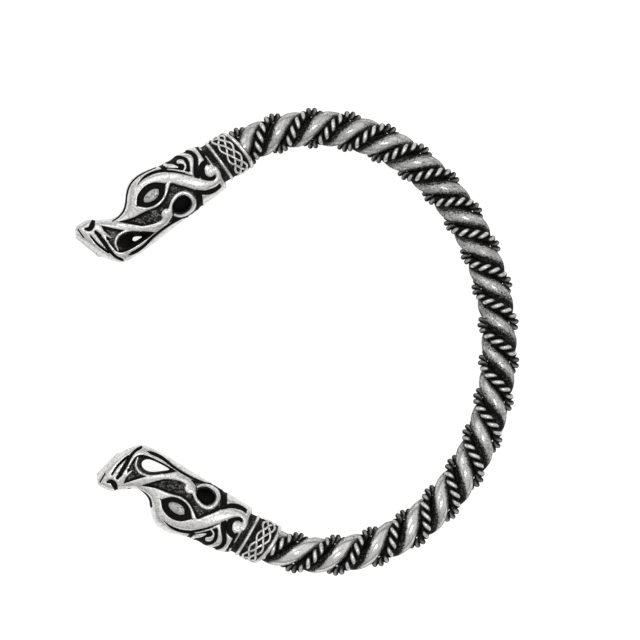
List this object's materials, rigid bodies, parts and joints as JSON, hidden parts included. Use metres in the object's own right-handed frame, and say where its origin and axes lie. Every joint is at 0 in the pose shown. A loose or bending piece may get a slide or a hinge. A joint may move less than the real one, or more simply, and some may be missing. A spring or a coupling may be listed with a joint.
{
  "type": "arm ring",
  "caption": "Open arm ring of twisted rods and wire cables that ends in two cast animal heads with collars.",
  "frame": {"origin": "middle of the ring's box, on the surface it lies on", "axes": "+Z square to the ring's plane, +Y towards the upper head's side, -X towards the gap between the heads"},
  "size_m": [0.071, 0.075, 0.0078],
  "materials": {
    "cast_silver": "polished silver with blackened recesses",
    "rod_silver": "worn silver, dark at the sides",
    "wire_silver": "blackened silver, bright on top of the wires"
  },
  "bodies": {
    "root": {"upper_head": "cast_silver", "lower_head": "cast_silver", "rod_a": "rod_silver", "rod_b": "rod_silver", "cable_a": "wire_silver", "cable_b": "wire_silver"}
  },
  "joints": []
}
